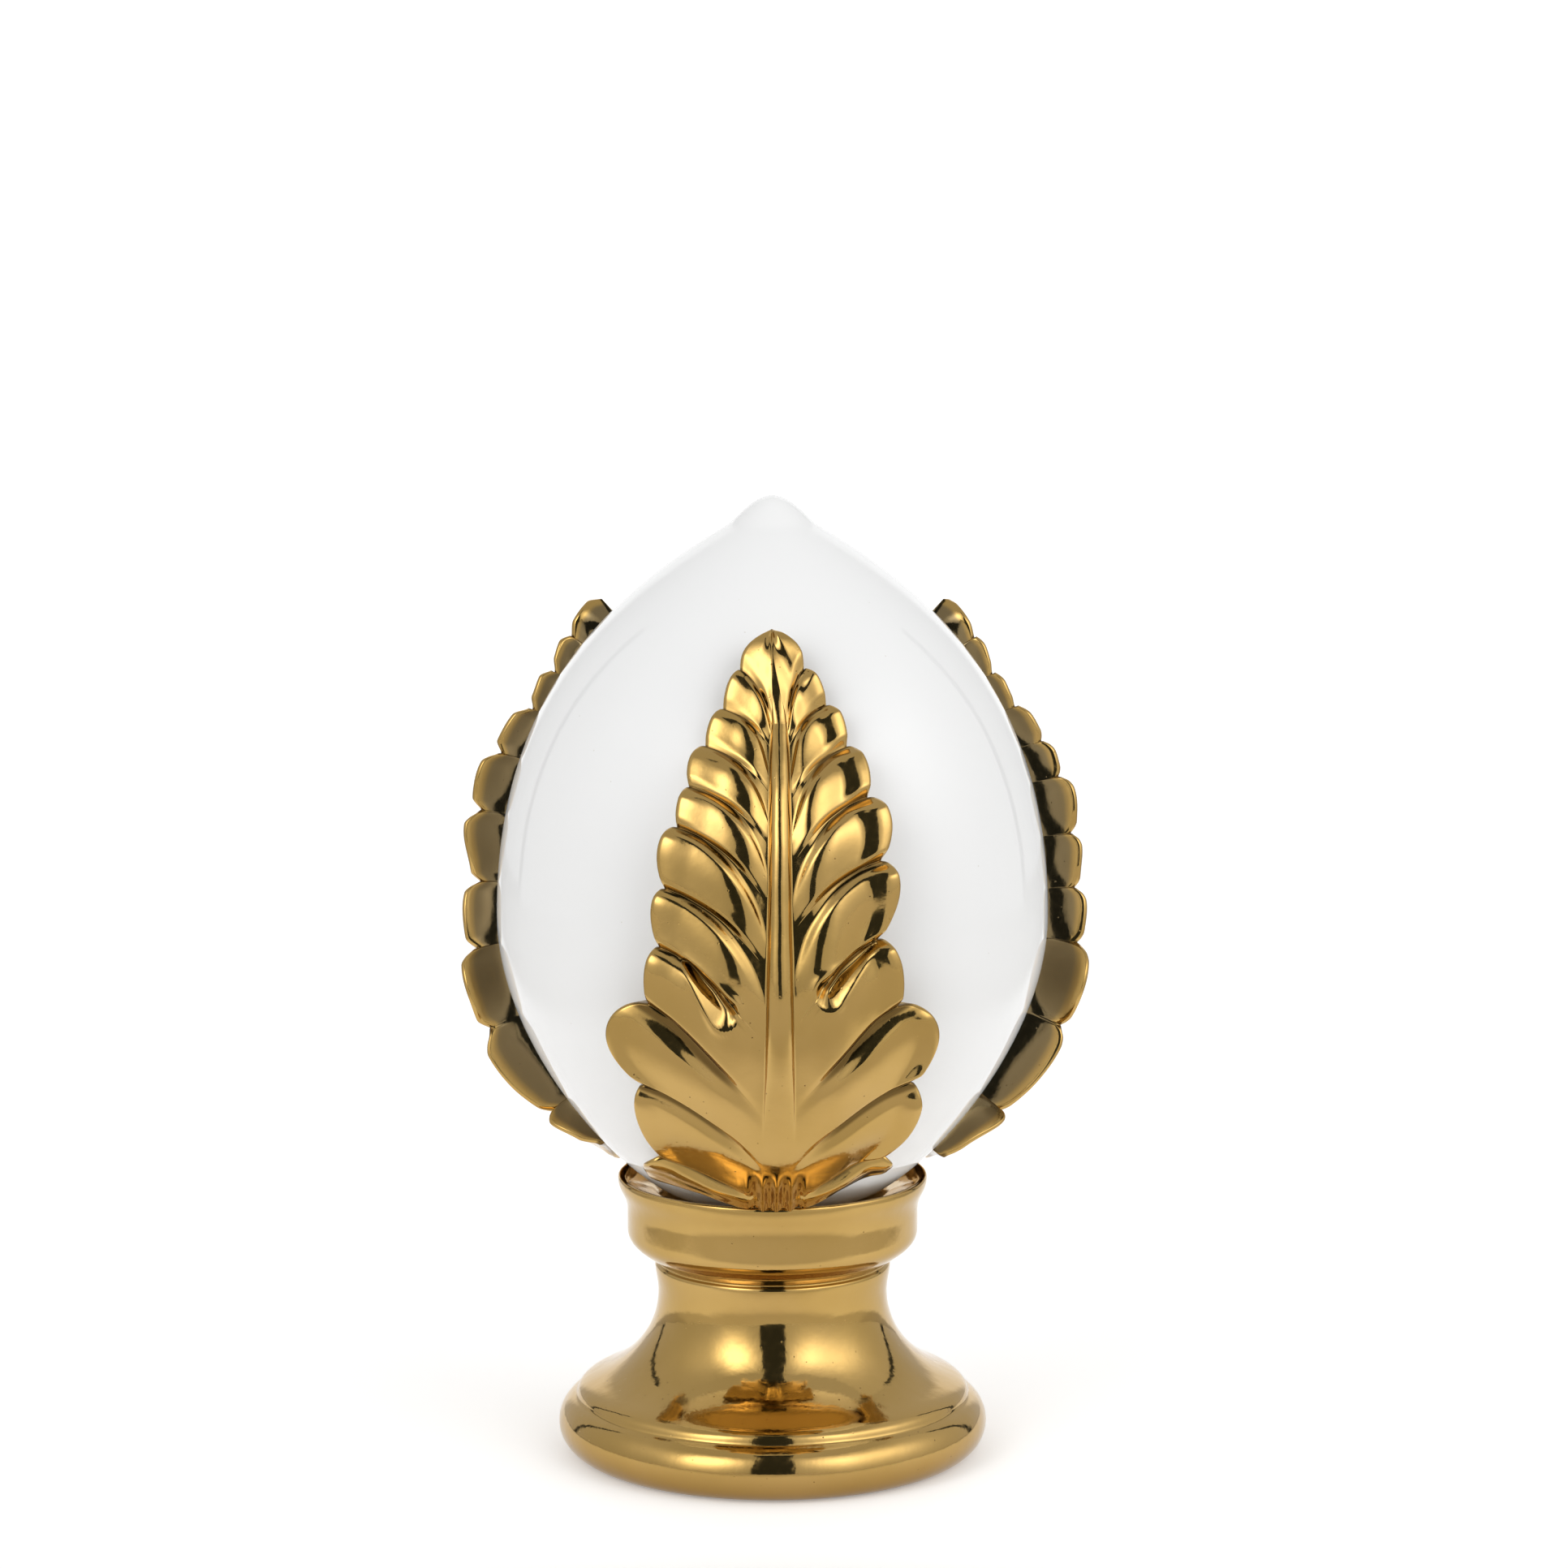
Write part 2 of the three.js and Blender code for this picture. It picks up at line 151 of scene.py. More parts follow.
# Colours
GOLD_DEEP = (0.49, 0.315, 0.098)
GOLD_PALE = (0.53, 0.345, 0.118)
GOLD_RUBBED = (0.16, 0.09, 0.03)
# Painted shade in the leaves' grooves
GOLD_SHADED_IN_GROOVES = (0.09, 0.05, 0.015)
# Painted shade on the leaves' side walls
GOLD_SHADED_ON_WALLS = (0.15, 0.125, 0.08)
# Painted shade on the pedestal near the table
GOLD_SHADED_NEAR_TABLE = (0.2, 0.11, 0.03)
GLAZE_COOL = (0.865, 0.87, 0.87)
GLAZE_WARM = (0.885, 0.885, 0.88)
GLAZE_SPECK = (0.6, 0.57, 0.5)
FLOOR_FRONT = (0.79, 0.775, 0.75), (0.81, 0.795, 0.77)
# Painted shade on the floor to the sides behind the object
FLOOR_SHADED_BEHIND = (0.62, 0.605, 0.58)
# Painted light: the floor's white, glowing wedge
FLOOR_LIT = (0.97, 0.97, 0.97)
ROOM = (0.042, 0.048, 0.052, 1)

# Stage and camera, in metres and degrees from the front, with the lamps' headings in radians
FLOOR_HALF_WIDTH = 1.6
FLOOR_FRONT_EDGE = -0.36
WEDGE_CORNER = 0.89
SIDE_SCREEN = dict(radius=1.0, degrees=(12, 125), levels=(-0.6, 1.5))
BACK_SCREEN = dict(radius=1.3, degrees=(129, 180), levels=(-0.1, 1.6))
LEFT_LIGHT = dict(even=0.64, lamp=4.0, wide_lamp=0.3)
RIGHT_LIGHT = dict(even=0.72, lamp=1.8, wide_lamp=1.4)
LAMP = dict(heading=0.65, sharpness=3.7)
WIDE_LAMP = dict(heading=1.15, sharpness=2.2)
LAMP_LEVEL = 0.72
LAMP_LEVEL_SHARPNESS = 2.2
TOP_LEVEL = 1.5
TOP_HALF_WIDTH = 1.3
TOP_FRONT = -1
TOP_NOTCH = 0.2, -0.5
TOP_STRENGTH = 0.63
STRONGEST_GLOW = 4.0
CAMERA_PLACE = (0.0024, -0.8917, 0.2639)
CAMERA_DOWN = 7.87
CAMERA_LENS = 100
CAMERA_SENSOR = 36

CREASE_LEVEL = FOOT_LOWER_HEIGHT + FOOT_UPPER_HEIGHT * np.sqrt(
    1 - ((CREASE_RADIUS - FOOT_RADIUS + FOOT_ROLL) / FOOT_ROLL) ** 2)
SLOPE_LEVEL = CREASE_LEVEL + SHOULDER_HEIGHT
NECK_LEVEL = SLOPE_LEVEL + HOLLOW_HEIGHT
COLLAR_LEVEL = NECK_LEVEL + COLLAR_HEIGHT
GROOVE_LEVEL = COLLAR_LEVEL + GROOVE_HEIGHT
CUP_LEVEL = GROOVE_LEVEL + CUP_BELLY_HEIGHT
LIP_LEVEL = CUP_LEVEL + CUP_WALL_HEIGHT + LIP_HEIGHT
SEAT_LEVEL = LIP_LEVEL - SEAT_DEPTH
BUD_FOOT = SEAT_LEVEL + BUD_CLEARANCE
BUD_TIP = BUD_FOOT + BUD_HEIGHT
LEAF_TOP = BUD_FOOT + LEAF_TOP_SHARE * BUD_HEIGHT
LEAF_BOTTOM = LIP_LEVEL + LEAF_RISE
LEAF_LENGTH = LEAF_TOP - LEAF_BOTTOM


def mix(a, b, share):
    """a + (b - a) times the share."""
    return a + (b - a) * share


def smooth(value, low, high):
    """3t^2 - 2t^3 of the value's share t of the way from low to high, held between 0 and 1."""
    t = np.clip((value - low) / (high - low), 0, 1)
    return t * t * (3 - 2 * t)


def bend(corners, steps):
    """Cubic curve (1-t)^3 a + 3(1-t)^2 t b + 3(1-t) t^2 c + t^3 d, its first point left out."""
    a, b, c, d = (np.array(corner, float) for corner in corners)
    t = np.linspace(0, 1, steps + 1)[1:, None]
    return (1 - t) ** 3 * a + 3 * (1 - t) ** 2 * t * b + 3 * (1 - t) * t ** 2 * c + t ** 3 * d


def arc(centre, half_axes, degrees, steps):
    """Part of an ellipse: centre plus half axes times (cos, sin) of the angle."""
    angle = np.radians(np.linspace(*degrees, steps + 1))
    return np.array(centre) + np.stack([np.cos(angle), np.sin(angle)], 1) * np.array(half_axes)


def along(steepness):
    """Unit step up a slope that leans in by its steepness for every unit it rises."""
    return np.array([-steepness, 1]) / np.hypot(steepness, 1)


def evened(profile, step, radius):
    """A profile resampled at even steps and softened with weights exp(-(distance / radius)^2 / 2),
    its ends kept. It is rounded, because the last digit of such a sum can differ between runs."""
    lengths = np.r_[0, np.cumsum(np.hypot(*np.diff(profile, axis=0).T))]
    places = np.linspace(0, lengths[-1], int(lengths[-1] / step) + 1)
    even = np.stack([np.interp(places, lengths, part) for part in profile.T], 1)
    reach = int(np.ceil(2 * radius / step))
    weights = np.exp(-0.5 * (np.arange(-reach, reach + 1) * step / radius) ** 2)
    weights /= weights.sum()
    head, tail = 2 * even[0] - even[reach:0:-1], 2 * even[-1] - even[-2:-reach - 2:-1]
    padded = np.vstack([head, even, tail])
    soft = np.stack([np.convolve(part, weights, "valid") for part in padded.T], 1)
    return np.round(np.stack([np.maximum(soft[:, 0], 0), soft[:, 1]], 1), 9)


def pedestal_profile():
    """Half outline (radius, height) from the middle of the underside up the outside and back to
    the middle of the cup's floor: two quarter ellipses for the foot ring, then cubic curves for
    the shoulder, the hollow neck, the collar, the cup and its lip."""
    ring = FOOT_RADIUS - FOOT_ROLL
    crease_angle = np.degrees(np.arccos((CREASE_RADIUS - ring) / FOOT_ROLL))
    slope, run = np.array([SHOULDER_SLOPE_RADIUS, SLOPE_LEVEL]), along(SHOULDER_STEEPNESS)
    wall_level = CUP_LEVEL + CUP_WALL_HEIGHT
    belly = SHOULDER_RADIUS - CREASE_RADIUS + 0.4 * SHOULDER_HEIGHT
    groove = (COLLAR_RADIUS - GROOVE_DEPTH, GROOVE_LEVEL)
    return np.vstack([
        [[0, 0]],
        arc((ring, FOOT_LOWER_HEIGHT), (FOOT_ROLL, FOOT_LOWER_HEIGHT), (-90, 0), 30),
        arc((ring, FOOT_LOWER_HEIGHT), (FOOT_ROLL, FOOT_UPPER_HEIGHT), (0, crease_angle), 24)[1:],
        bend([(CREASE_RADIUS, CREASE_LEVEL), (SHOULDER_RADIUS, CREASE_LEVEL + belly),
              slope - 0.8 * SHOULDER_HEIGHT * run, slope], 24),
        bend([slope, slope + 0.44 * HOLLOW_HEIGHT * run,
              (NECK_RADIUS, NECK_LEVEL - 0.43 * HOLLOW_HEIGHT), (NECK_RADIUS, NECK_LEVEL)], 40),
        bend([(NECK_RADIUS, NECK_LEVEL), (NECK_RADIUS, NECK_LEVEL + 0.3 * COLLAR_HEIGHT),
              (COLLAR_RADIUS, COLLAR_LEVEL - 0.3 * COLLAR_HEIGHT),
              (COLLAR_RADIUS, COLLAR_LEVEL)], 20),
        [groove],
        bend([groove, (mix(groove[0], CUP_RADIUS, 0.45), mix(GROOVE_LEVEL, CUP_LEVEL, 0.33)),
              (CUP_RADIUS, CUP_LEVEL - 0.45 * CUP_BELLY_HEIGHT), (CUP_RADIUS, CUP_LEVEL)], 24),
        [[CUP_RADIUS, wall_level]],
        bend([(CUP_RADIUS, wall_level), (CUP_RADIUS, wall_level + 0.5 * LIP_HEIGHT),
              (LIP_RADIUS + LIP_FLARE, LIP_LEVEL - 0.4 * LIP_HEIGHT), (LIP_RADIUS, LIP_LEVEL)], 24),
        [[LIP_RADIUS - LIP_THICKNESS, LIP_LEVEL]],
        [[BUD_FOOT_RADIUS + SEAT_MARGIN, SEAT_LEVEL], [0, SEAT_LEVEL]],
    ])


def bud_outline(steps):
    """Half outline (radius, height) from the edge of the flat foot up: cubic curves for the full
    belly, the ogive shoulder and the small pinched point."""
    belly_level, point_level = BUD_FOOT + BUD_BELLY_SHARE * BUD_HEIGHT, BUD_TIP - BUD_POINT_HEIGHT
    run, point = along(BUD_POINT_STEEPNESS), np.array([BUD_POINT_RADIUS, point_level])
    foot, belly = (BUD_FOOT_RADIUS, BUD_FOOT), (BUD_RADIUS, belly_level)
    return np.vstack([
        [foot],
        bend([foot, (mix(BUD_FOOT_RADIUS, BUD_RADIUS, 0.4), mix(BUD_FOOT, belly_level, 0.13)),
              (BUD_RADIUS, mix(BUD_FOOT, belly_level, 0.583)), belly], steps),
        bend([belly, (BUD_RADIUS, mix(belly_level, point_level, 0.473)),
              point - 0.448 * (point_level - belly_level) * run, point], steps),
        bend([point, point + 0.25 * BUD_POINT_HEIGHT * run,
              (0.43 * BUD_POINT_RADIUS, BUD_TIP), (0, BUD_TIP)], steps // 2),
    ])


OUTLINE = bud_outline(400)


def bud_radius(height):
    """Radius of the bud at a height, read off its outline."""
    return np.interp(height, OUTLINE[:, 1], OUTLINE[:, 0])


def on_bud(aside, down, distance):
    """Points a distance off the bud along its normal: aside millimetres round it from the
    leaf's middle plane, and a share of the leaf's length down from its tip."""
    height = LEAF_TOP - down * LEAF_LENGTH
    step = 0.5
    slope = (bud_radius(height + step) - bud_radius(height - step)) / (2 * step)
    out, up = 1 / np.hypot(1, slope), -slope / np.hypot(1, slope)
    heading = aside / (bud_radius(height) + LEAF_WRAP_DISTANCE)
    radius = bud_radius(height) + distance * out
    return np.stack([
        radius * np.sin(heading), -radius * np.cos(heading), height + distance * up], -1)


def read(table, place):
    """Smooth curve through a table of (place, value) pairs, with Hermite cubics between them."""
    places, values = table.T
    slopes = np.gradient(values, places)
    slopes[1:-1] = (values[2:] - values[:-2]) / (places[2:] - places[:-2])
    i = np.clip(np.searchsorted(places, place, "right") - 1, 0, len(places) - 2)
    span = places[i + 1] - places[i]
    t = np.clip((place - places[i]) / span, 0, 1)
    ends = values[i] * (1 + 2 * t) * (1 - t) ** 2 + values[i + 1] * t * t * (3 - 2 * t)
    return ends + span * (slopes[i] * t * (1 - t) ** 2 - slopes[i + 1] * t * t * (1 - t))


def midrib_middle(down):
    """How far aside the midrib runs: it sways out below the tip and part of the way back."""
    return MIDRIB_SWAY * smooth(down, 0.02, 0.14) * (1 - 0.4 * smooth(down, 0.7, 1))


def midrib_half(down):
    """Half the midrib's width: nothing at the tip, growing in two eased steps to the foot."""
    return MIDRIB_HALF_WIDTH * (0.8 * smooth(down, 0, 0.2) + 0.4 * smooth(down, 0.3, 0.9))


def leaf_place(half, k, across, out):
    """(aside, down) of a place on leaflet k of one half, counted from the tip: a share across it,
    and a share of the way out from the midrib's side to the lobed edge, along a quadratic curve
    that bows upwards."""
    reach, notch, root = (mix(half[key][k], half[key][k + 1], across)
                          for key in ("reach", "notch", "root"))
    step_out = (half["reach"][k + 1] - half["reach"][k]) * LEAF_HALF_WIDTH
    step_down = (half["notch"][k + 1] - half["notch"][k]) * LEAF_LENGTH
    at_tip = k == 0
    skewed = across ** np.where(at_tip, 1.5, 0.75)
    lobe = np.maximum(0, 4 * skewed * (1 - skewed)) ** np.where(at_tip, 1, mix(0.6, 1.1, across))
    swell = half["swell"][k] * lobe / np.hypot(step_out, step_down)
    edge = reach * LEAF_HALF_WIDTH + swell * step_down, notch - swell * step_out / LEAF_LENGTH
    start = midrib_half(root) + half["side"] * midrib_middle(root), root
    bow = mix(0.35, 0.57, smooth(root, 0.4, 0.9))
    low = mix(0.2, 0.6, smooth(root, 0.92, 1))
    handle = mix(start[0], edge[0], bow), mix(edge[1], root, low)
    aside, down = ((1 - out) ** 2 * a + 2 * (1 - out) * out * b + out ** 2 * c
                   for a, b, c in zip(start, handle, edge))
    return half["side"] * aside, down


def leaflet_sizes(half, k, across, out, aside, down):
    """Each leaflet's breadth, at right angles to the way it runs out, and the length of the way
    out, in millimetres."""
    upper, lower = leaf_place(half, k, 0 * across, out), leaf_place(half, k, 1 + 0 * across, out)
    chord = lower[0] - upper[0], (lower[1] - upper[1]) * LEAF_LENGTH
    flow = np.gradient(aside, axis=1), np.gradient(down, axis=1) * LEAF_LENGTH
    breadth = np.abs(chord[0] * flow[1] - chord[1] * flow[0]) / np.maximum(np.hypot(*flow), 1e-6)
    return breadth, np.hypot(*flow).sum(axis=1, keepdims=True)


def groove_banks(half, k, out, aside, down, below, above, breadth):
    """How far the leaflet has risen, 0 to 1, from the groove above it and to the groove below it.
    A bank is 1.4 to 2.4 mm wide, less on narrow leaflets. Grooves are filled towards the edge,
    more so near the tip, and give way to the eye inwards of its round end."""
    scale = np.clip(breadth / 9, 0.45, 1)
    past_eye = smooth(aside * half["side"] - abs(half["eye"][1, 0]), -1.5, 2.5)
    near_tip = 1 - smooth(down, 0.08, 0.32)
    filled = 0.85 * smooth(out, 0.3, 0.8) * near_tip + 0.35 * smooth(out, 0.7, 1)
    filled = np.minimum(filled, 0.9)
    upper = mix(smooth(below / scale, -0.5, mix(1.9, 1.3, out)), 1, filled)
    lower = mix(smooth(above / scale, -0.4, mix(1.5, 1.0, out)), 1, filled)
    upper = np.where(k == half["eye_groove"], mix(1, upper, past_eye), upper)
    return upper, np.where(k + 1 == half["eye_groove"], mix(1, lower, past_eye), lower)


def tip_roof(aside, down):
    """How far the tip slopes down both ways from a rounded ridge along its middle: the depth
    times 1 - exp(-x), where x grows with the distance from the middle as a hyperbola."""
    from_ridge = np.hypot(aside - midrib_middle(down), TIP_ROOF_RIDGE)
    slope = 1 - np.exp((TIP_ROOF_RIDGE - from_ridge) / TIP_ROOF_RUN)
    return TIP_ROOF_DEPTH * slope * (1 - smooth(down, 0.1, 0.24))


def eye_hollow(eye, aside, down):
    """A drop-shaped hollow: its radius grows from the sharp end to the round one, its depth falls
    off as exp(-(distance / radius)^2), and a low rolled rim runs round it."""
    sharp, blunt = eye
    run = blunt - sharp
    share = np.clip(((aside - sharp[0]) * run[0] + (down - sharp[1]) * run[1]) / (run @ run), 0, 1)
    distance = np.hypot(aside - sharp[0] - share * run[0], down - sharp[1] - share * run[1])
    radius = mix(0.4, 1.7, share)
    hollow = np.exp(-(distance / radius) ** 2)
    rim = np.exp(-((distance - 1.7 * radius) / 0.7) ** 2)
    return mix(0.3, 1, share) * (EYE_RIM * rim - EYE_DEPTH * hollow)


def leaf_half(half, out):
    """Carved face of one half, as [aside, down, height, groove mark], and its footprint as a share
    of the edge's distance aside. The height is a floor read from the thickness table, plus the
    leaflets' lift between their grooves, with smaller reliefs added and taken off one by one."""
    leaflets = len(half["swell"])
    count = np.linspace(0, leaflets, LEAF_ROWS + 1)[:, None]
    k = np.minimum(count.astype(int), leaflets - 1)
    across = count - k
    across = across - 0.7 * np.sin(2 * np.pi * across) / (2 * np.pi)  # rows crowd at the grooves
    out = out[None, :]
    aside, down = leaf_place(half, k, across, out)
    breadth, length = leaflet_sizes(half, k, across, out, aside, down)
    from_edge = (1 - out) * length

    # The leaflet's own surface starts below a strip of valley floor that widens to the midrib,
    # and leaflets near the tip have less relief, in step with their size
    size = np.minimum(1, (half["notch"][k + 1] - half["notch"][k]) / 0.075)
    strip = VALLEY_STRIP * np.exp(-out / 0.2)
    strip = strip * smooth(down, 0.1, 0.2) * (1 - smooth(down, 0.5, 0.75))
    below, above = (across - strip) * breadth, (1 - across) * breadth
    inside = np.clip((across - strip) / (1 - strip), 0, 1)
    upper, lower = groove_banks(half, k, out, aside, down, below, above, breadth)

    # It rises from the midrib's side, leans down to its lower edge, and is rounded across
    root_run = np.clip(0.6 * length, 0.01, 13)
    ends = mix(1, smooth(out * length / root_run, -0.1, 1), smooth(down, 0.06, 0.16))
    shoulder = 1.5 - 0.65 * smooth(inside, 0.15, 0.75) + 0.6 * (1 - (2 * inside - 1) ** 2)
    lift = size * upper * lower * shoulder * ends * smooth(down, -0.03, 0.05)
    scoop = SCOOP_DEPTH * smooth(across, 0.2, 1) * smooth(out, 0.1, 0.5)
    lift = lift - np.where(k == leaflets - 1, scoop, 0)

    # Curled edges, flared large lobes, valleys beside the midrib, and a quarter-round edge
    rim = size * smooth(below, 0.3, 2.6) * smooth(above, 0.2, 2)
    curl = rim * half["curl"] * smooth(from_edge, 7, 1.5) * smooth(out, 0.2, 0.6)
    flare = LEAF_FLARE * smooth(down, 0.6, 0.75) * (1 - smooth(down, 0.82, 0.96)) * out ** 2
    beside_rib = 1 - smooth(out, 0, 0.3)
    valley = VALLEY_DEPTH * beside_rib * smooth(down, 0.05, 0.2) * (1 - smooth(down, 0.7, 0.95))
    roll = EDGE_ROLL * (1 - np.sqrt(1 - np.clip(1 - from_edge / EDGE_ROLL, 0, 1) ** 2))
    floor = read(LEAF_THICKNESS, down) - 0.6 * (1 - smooth(down, 0.9, 1))
    height = floor + lift + curl + flare - valley - tip_roof(aside, down) - 0.85 * roll
    height = height + half["standing"] * smooth(out, 0.2, 0.8) * smooth(down, 0, 0.2)
    middle = smooth(down, 0.38, 0.47) * (1 - smooth(down, 0.67, 0.76))
    height = height - half["flat"] * smooth(out, 0.4, 0.8) * middle
    height = height + eye_hollow(half["eye"], aside, down * LEAF_LENGTH)

    # Groove mark: where the material paints shade into the grooves
    groove = (1 - smooth(np.minimum(np.abs(below), above), 0, 0.8)) * ends
    chord = mix(half["reach"][k], half["reach"][k + 1], across) * LEAF_HALF_WIDTH
    foot = (chord - FOOTPRINT_MARGIN)[:, 0] / np.maximum(np.abs(aside[:, -1]), 1e-6)
    return [aside, down, height, groove], np.clip(foot, 0.7, 0.97)


def leaf_rib(left, right):
    """Midrib between the inner sides of two halves: its height swells as the cosine of a half
    turn, and its place runs across as the sine."""
    turn = np.linspace(-np.pi / 2, np.pi / 2, 36)[None, 1:-1]
    share = 0.5 + 0.5 * np.sin(turn)
    aside, down, height = (mix(a[:, :1], b[:, :1], share) for a, b in zip(left[:3], right[:3]))
    bead = MIDRIB_HEIGHT * smooth(down, 0.08, 0.2) * (1 - smooth(down, 0.62, 0.86)) * np.cos(turn)
    return [aside, down, height + bead, 0 * down]


def leaf_flutes(aside, down):
    """Gathered foot of the leaf: a keel as exp(-(distance / run)^2) from the midrib's middle,
    less flutes as a cosine of that distance."""
    from_middle = aside - midrib_middle(down)
    flutes = 0.5 - 0.5 * np.cos(2 * np.pi * from_middle / FLUTE_PITCH)
    fluted = smooth(down, 0.9, 0.95) * (1 - smooth(np.abs(from_middle), 5, 8))
    keel = FLUTE_KEEL * np.exp(-(from_middle / FLUTE_KEEL_RUN) ** 2) * smooth(down, 0.72, 0.9)
    keel = keel * (1 - 0.7 * smooth(down, 0.93, 1))
    return keel - FLUTE_DEPTH * flutes * fluted


def leaf_wall(half, foot):
    """Side wall from the edge in to the footprint on the bud: the height falls evenly, the inset
    grows as 1 - (1 - w)^2, and the mark for painted shade on the wall goes from 0 to -1 just
    below the edge."""
    w = np.linspace(0, 1, 10)[None, 1:]
    aside, down, height = (part[:, -1:] for part in half[:3])
    eased = 1 - (1 - w) ** 2
    return [aside * mix(1, foot[:, None], eased), down + 0 * w, mix(height, LEAF_BACK, w),
            -smooth(w, 0, 0.3) + 0 * down]


def leaf_surface():
    """Closed skin of the leaf: rows run down it, and columns run round it, from the middle of its
    back over the left wall, the carved face and the right wall to the back again."""
    inner, outer = np.linspace(0, 0.88, 38), np.linspace(0, 1, 16)[1:]
    out = np.r_[inner, 1 - 0.12 * (1 - outer) ** 2]
    left, left_foot = leaf_half(LEFT_HALF, out)
    right, right_foot = leaf_half(RIGHT_HALF, out)
    rib = leaf_rib(left, right)
    face = [np.hstack([a[:, ::-1], m, b]) for a, m, b in zip(left, rib, right)]
    face[2] = face[2] + leaf_flutes(face[0], face[1])
    left_wall, right_wall = leaf_wall(left, left_foot), leaf_wall(right, right_foot)
    back_share = np.linspace(0, 1, 12)[None, 1:-1]
    back = [mix(b[:, -1:], a[:, -1:], back_share) for a, b in zip(left_wall, right_wall)]
    aside, down, height, groove = (
        np.hstack([a[:, ::-1], f, b, c]) for a, f, b, c in zip(left_wall, face, right_wall, back))

    # More rows round the foot off: down as a sine, and sinking to the back as the power 1.5
    tail = np.linspace(0, 1, 9)[1:, None]
    last = height[-1:]
    aside = np.vstack([aside, aside[-1:] + 0 * tail])
    down = np.vstack([down, down[-1:] + 0.004 * np.sin(np.pi * tail / 2)])
    height = np.vstack([height, mix(last, np.minimum(last, LEAF_BACK), tail ** 1.5)])
    groove = np.vstack([groove, groove[-1:] + 0 * tail])
    return on_bud(aside, down, height), groove


def turned(profile):
    """A profile turned about Z: radius times (sin, -cos) of the heading, and the height."""
    heading = np.linspace(0, 2 * np.pi, TURNED_SIDES + 1)[None, :-1]
    radius, height = profile[:, :1], profile[:, 1:]
    return np.stack([radius * np.sin(heading), -radius * np.cos(heading), height + 0 * heading], -1)


def about_z(points, degrees):
    """Points turned about the Z axis."""
    c, s = np.cos(np.radians(degrees)), np.sin(np.radians(degrees))
    return points @ np.array([(c, -s, 0), (s, c, 0), (0, 0, 1)]).T


def made(name, points, faces, material):
    """An object at the origin with a mesh of these points, in metres, and faces."""
    mesh = bpy.data.meshes.new(name)
    mesh.from_pydata(points, [], faces)
    mesh.materials.append(material)
    piece = bpy.data.objects.new(name, mesh)
    bpy.context.scene.collection.objects.link(piece)
    return piece


def skin(name, grid, material, shade_marks=None):
    """A closed mesh from a grid of points (rows, columns, 3) in millimetres. Its columns join
    round, its first and last rows shrink to a point or are capped, and points that fall together
    are merged. The marks are values for the points, kept as a point attribute that tells the
    material where to paint shade."""
    rows, columns = grid.shape[:2]
    number = np.arange(rows * columns).reshape(rows, columns)
    beside = np.roll(number, -1, axis=1)
    a, b, c, d = number[:-1], beside[:-1], beside[1:], number[1:]
    triangles = np.concatenate([np.stack([a, d, c], -1), np.stack([a, c, b], -1)]).reshape(-1, 3)
    points = grid.reshape(-1, 3)
    rounded = np.round(points, 4)
    _, first, merged = np.unique(rounded, axis=0, return_index=True, return_inverse=True)
    merged = merged.reshape(-1)
    triangles = merged[triangles]
    shrunk = (triangles == np.roll(triangles, 1, axis=1)).any(axis=1)
    faces = triangles[~shrunk].tolist()
    for ring in (number[0][::-1], number[-1]):
        corners = list(dict.fromkeys(merged[ring].tolist()))
        if len(corners) > 2:
            faces.append(corners[::-1])
    piece = made(name, (points[first] * MM).tolist(), faces, material)
    if shade_marks is not None:
        painted_shade_mark = piece.data.attributes.new("painted_shade_mark", "FLOAT", "POINT")
        painted_shade_mark.data.foreach_set("value", shade_marks.reshape(-1)[first])
    piece.data.shade_smooth()
    return piece


class Value:
    """A shader socket that takes part in Python arithmetic."""

    def __init__(self, shader, socket):
        self.shader, self.socket = shader, socket

    def math(self, operation, *others):
        """A Math node on this value and the others, in that order."""
        inputs = dict(enumerate((self, *others)))
        return self.shader.node("ShaderNodeMath", {"operation": operation}, inputs)

    def __add__(self, other):
        return self.math("ADD", other)

    __radd__ = __add__

    def __sub__(self, other):
        return self.math("SUBTRACT", other)

    def __rsub__(self, other):
        return self.shader.node("ShaderNodeMath", {"operation": "SUBTRACT"}, {0: other, 1: self})

    def __mul__(self, other):
        return self.math("MULTIPLY", other)

    __rmul__ = __mul__

    def __truediv__(self, other):
        return self.math("DIVIDE", other)

    def __neg__(self):
        return 0 - self

    def __abs__(self):
        return self.math("ABSOLUTE")


